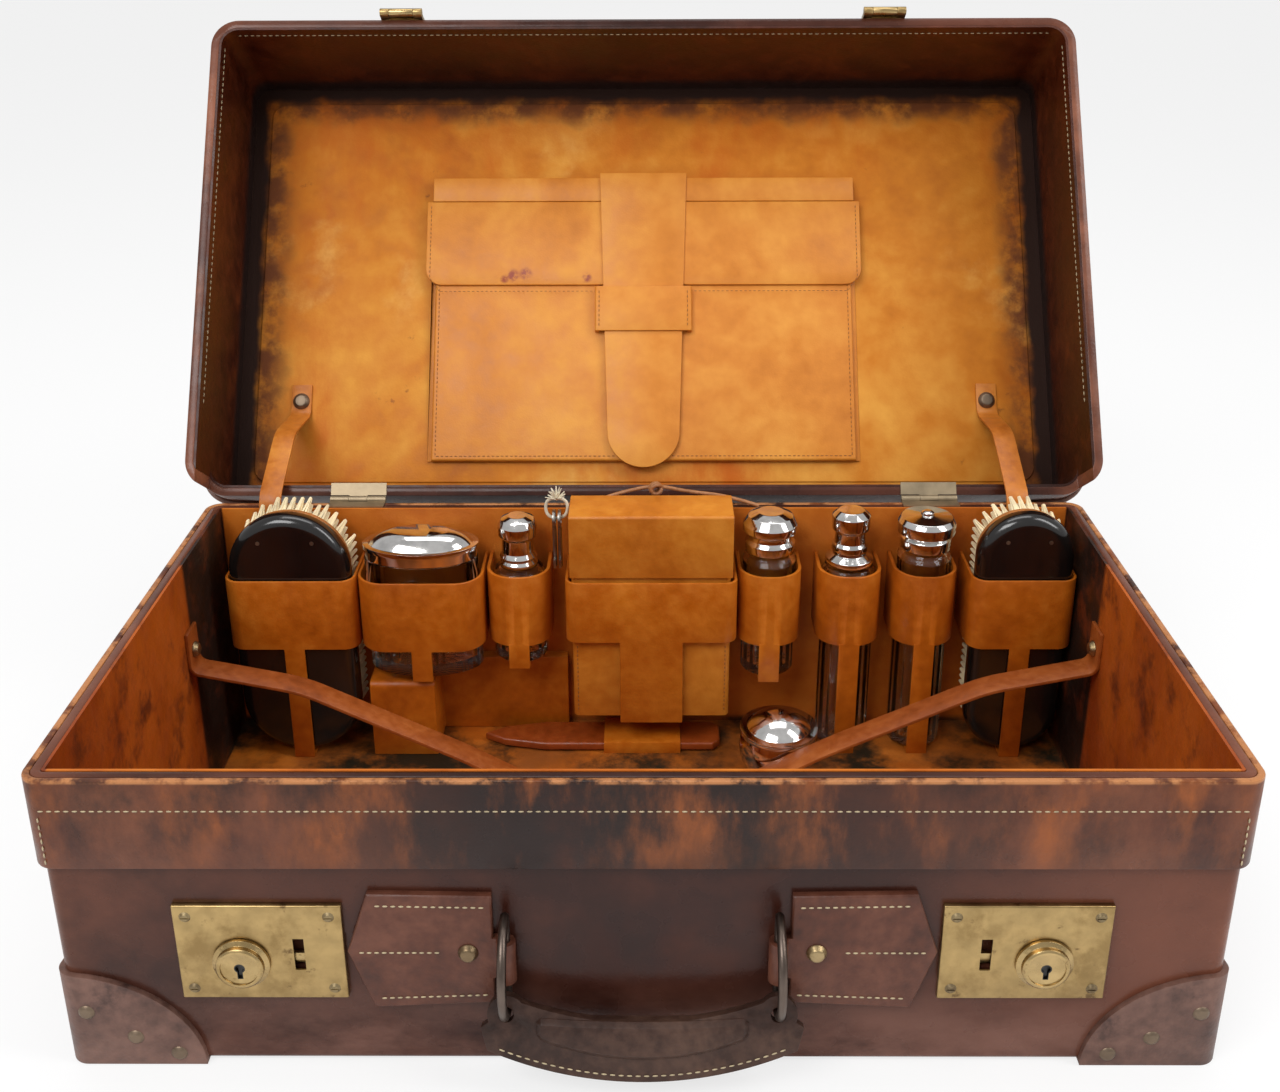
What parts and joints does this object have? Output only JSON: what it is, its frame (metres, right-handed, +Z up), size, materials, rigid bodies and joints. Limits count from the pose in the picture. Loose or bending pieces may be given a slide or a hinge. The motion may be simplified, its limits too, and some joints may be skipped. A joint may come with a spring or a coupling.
{
  "type": "fitted dressing box",
  "caption": "Leather travelling dressing box, open: hinged overlapping lid with wallet, locks, handle, and toilet fittings held upright in leather loops.",
  "frame": {"origin": "middle of the base's flat underside", "axes": "+X to the right along the case's length, +Y from the lock side to the hinge side, +Z up"},
  "size_m": [0.585, 0.5744, 0.459],
  "materials": {
    "case_leather": "worn dark brown hide, satin",
    "pad_leather": "dark brown, scuffed",
    "lining_leather": "red-brown, satin",
    "tan_leather": "tan, satin",
    "strap_leather": "brown, satin",
    "handle_leather": "dark brown, polished by hands",
    "lock_brass": "aged, brushed",
    "rivet_brass": "dull, aged",
    "steel": "satin, slightly tarnished",
    "plate_silver": "polished plate",
    "clear_glass": "polished",
    "ebony": "polished",
    "bristle": "stiff natural bristle",
    "string": "cotton"
  },
  "bodies": {
    "base": {"base_shell": "case_leather", "base_rim_band": "case_leather", "base_lining": "lining_leather", "corner_pads": "pad_leather", "corner_rivets": "rivet_brass", "lock_plates": "lock_brass", "lock_screws": "lock_brass", "chapes": "handle_leather", "brass_studs": "lock_brass", "handle_rings": "steel", "hinge_base_leaves": "steel", "hinge_pins": "steel", "riser_block": "tan_leather", "brush_left_loop": "tan_leather", "brush_right_loop": "tan_leather", "jar_loop": "tan_leather", "bottle_loops": "tan_leather", "case_loop": "tan_leather", "luggage_straps": "strap_leather", "strap_buckle": "lock_brass", "lace": "strap_leather", "stay_straps": "strap_leather"},
    "lid": {"lid_shell": "case_leather", "lid_lining": "lining_leather", "lid_panel": "tan_leather", "lid_corner_pads": "pad_leather", "hinge_lid_leaves": "steel", "hasp_plates": "lock_brass", "stay_studs": "rivet_brass", "wallet_pocket": "tan_leather", "wallet_keeper": "tan_leather", "wallet_tongue": "tan_leather"},
    "hasp_left": {"hasp_left": "lock_brass"},
    "hasp_right": {"hasp_right": "lock_brass"},
    "lock_slider_left": {"lock_slider_left": "lock_brass"},
    "lock_slider_right": {"lock_slider_right": "lock_brass"},
    "handle": {"handle_grip": "handle_leather"},
    "wallet_flap": {"wallet_flap": "tan_leather"},
    "brush_left": {"brush_left_back": "ebony", "brush_left_bristles": "bristle"},
    "brush_right": {"brush_right_back": "ebony", "brush_right_bristles": "bristle"},
    "jar": {"jar": "clear_glass"},
    "jar_lid": {"jar_lid": "plate_silver"},
    "case": {"case_body": "tan_leather"},
    "case_flap": {"case_flap": "tan_leather"},
    "pot": {"pot_lower": "plate_silver"},
    "pot_lid": {"pot_upper": "plate_silver"},
    "sheath": {"sheath": "strap_leather", "sheath_keeper": "tan_leather"},
    "key_bunch": {"keys": "steel", "key_string": "string"},
    "bottle_1": {"bottle_1": "clear_glass"},
    "bottle_cap_1": {"bottle_cap_1": "plate_silver"},
    "bottle_2": {"bottle_2": "clear_glass"},
    "bottle_cap_2": {"bottle_cap_2": "plate_silver"},
    "bottle_3": {"bottle_3": "clear_glass"},
    "bottle_cap_3": {"bottle_cap_3": "plate_silver"},
    "bottle_4": {"bottle_4": "clear_glass"},
    "bottle_cap_4": {"bottle_cap_4": "plate_silver"}
  },
  "joints": [
    {"name": "lid_hinge", "type": "hinge", "parent": "base", "child": "lid", "pos_m": [0, 0.1582, 0.1649], "axis": [-1, 0, 0], "range_deg": [-123, 0], "deforming": ["stay_straps"]},
    {"name": "hasp_left_hinge", "type": "hinge", "parent": "lid", "child": "hasp_left", "pos_m": [-0.162, 0.30622, 0.45617], "axis": [-1, 0, 0], "range_deg": [-184, 0]},
    {"name": "hasp_right_hinge", "type": "hinge", "parent": "lid", "child": "hasp_right", "pos_m": [0.162, 0.30622, 0.45617], "axis": [-1, 0, 0], "range_deg": [-184, 0]},
    {"name": "lock_left_slide", "type": "slide", "parent": "base", "child": "lock_slider_left", "axis": [-1, 0, 0], "range_m": [0, 0.007], "stiffness_N_per_m": 150},
    {"name": "lock_right_slide", "type": "slide", "parent": "base", "child": "lock_slider_right", "axis": [1, 0, 0], "range_m": [0, 0.007], "stiffness_N_per_m": 150},
    {"name": "handle_swing", "type": "hinge", "parent": "base", "child": "handle", "pos_m": [0, -0.1568, 0.0655], "axis": [-1, 0, 0], "range_deg": [0, 140]},
    {"name": "wallet_flap_fold", "type": "hinge", "parent": "lid", "child": "wallet_flap", "pos_m": [0, 0.32322, 0.325], "axis": [-1, 0, 0], "range_deg": [0, 150], "deforming": ["wallet_tongue"]},
    {"name": "brush_left_lift", "type": "slide", "parent": "base", "child": "brush_left", "axis": [0, 0, 1], "range_m": [0, 0.14]},
    {"name": "brush_right_lift", "type": "slide", "parent": "base", "child": "brush_right", "axis": [0, 0, 1], "range_m": [0, 0.14]},
    {"name": "jar_lift", "type": "slide", "parent": "base", "child": "jar", "axis": [0, 0, 1], "range_m": [0, 0.08]},
    {"name": "jar_lid_lift", "type": "slide", "parent": "jar", "child": "jar_lid", "axis": [0, 0, 1], "range_m": [0, 0.04]},
    {"name": "bottle_1_lift", "type": "slide", "parent": "base", "child": "bottle_1", "axis": [0, 0, 1], "range_m": [0, 0.075]},
    {"name": "bottle_2_lift", "type": "slide", "parent": "base", "child": "bottle_2", "axis": [0, 0, 1], "range_m": [0, 0.085]},
    {"name": "bottle_3_lift", "type": "slide", "parent": "base", "child": "bottle_3", "axis": [0, 0, 1], "range_m": [0, 0.14]},
    {"name": "bottle_4_lift", "type": "slide", "parent": "base", "child": "bottle_4", "axis": [0, 0, 1], "range_m": [0, 0.14]},
    {"name": "case_lift", "type": "slide", "parent": "base", "child": "case", "axis": [0, 0, 1], "range_m": [0, 0.11]},
    {"name": "case_flap_hinge", "type": "hinge", "parent": "case", "child": "case_flap", "pos_m": [0.005, 0.1395, 0.176], "axis": [-1, 0, 0], "range_deg": [0, 100]},
    {"name": "pot_lift", "type": "slide", "parent": "base", "child": "pot", "axis": [0, 0, 1], "range_m": [0, 0.12]},
    {"name": "pot_lid_lift", "type": "slide", "parent": "pot", "child": "pot_lid", "axis": [0, 0, 1], "range_m": [0, 0.04]},
    {"name": "sheath_slide", "type": "slide", "parent": "base", "child": "sheath", "axis": [0, -1, 0], "range_m": [0, 0.045]},
    {"name": "key_bunch_lift", "type": "slide", "parent": "base", "child": "key_bunch", "axis": [0, 0, 1], "range_m": [0, 0.06]},
    {"name": "bottle_cap_1_lift", "type": "slide", "parent": "bottle_1", "child": "bottle_cap_1", "axis": [0, 0, 1], "range_m": [0, 0.04]},
    {"name": "bottle_cap_2_lift", "type": "slide", "parent": "bottle_2", "child": "bottle_cap_2", "axis": [0, 0, 1], "range_m": [0, 0.04]},
    {"name": "bottle_cap_3_lift", "type": "slide", "parent": "bottle_3", "child": "bottle_cap_3", "axis": [0, 0, 1], "range_m": [0, 0.04]},
    {"name": "bottle_cap_4_lift", "type": "slide", "parent": "bottle_4", "child": "bottle_cap_4", "axis": [0, 0, 1], "range_m": [0, 0.04]}
  ]
}
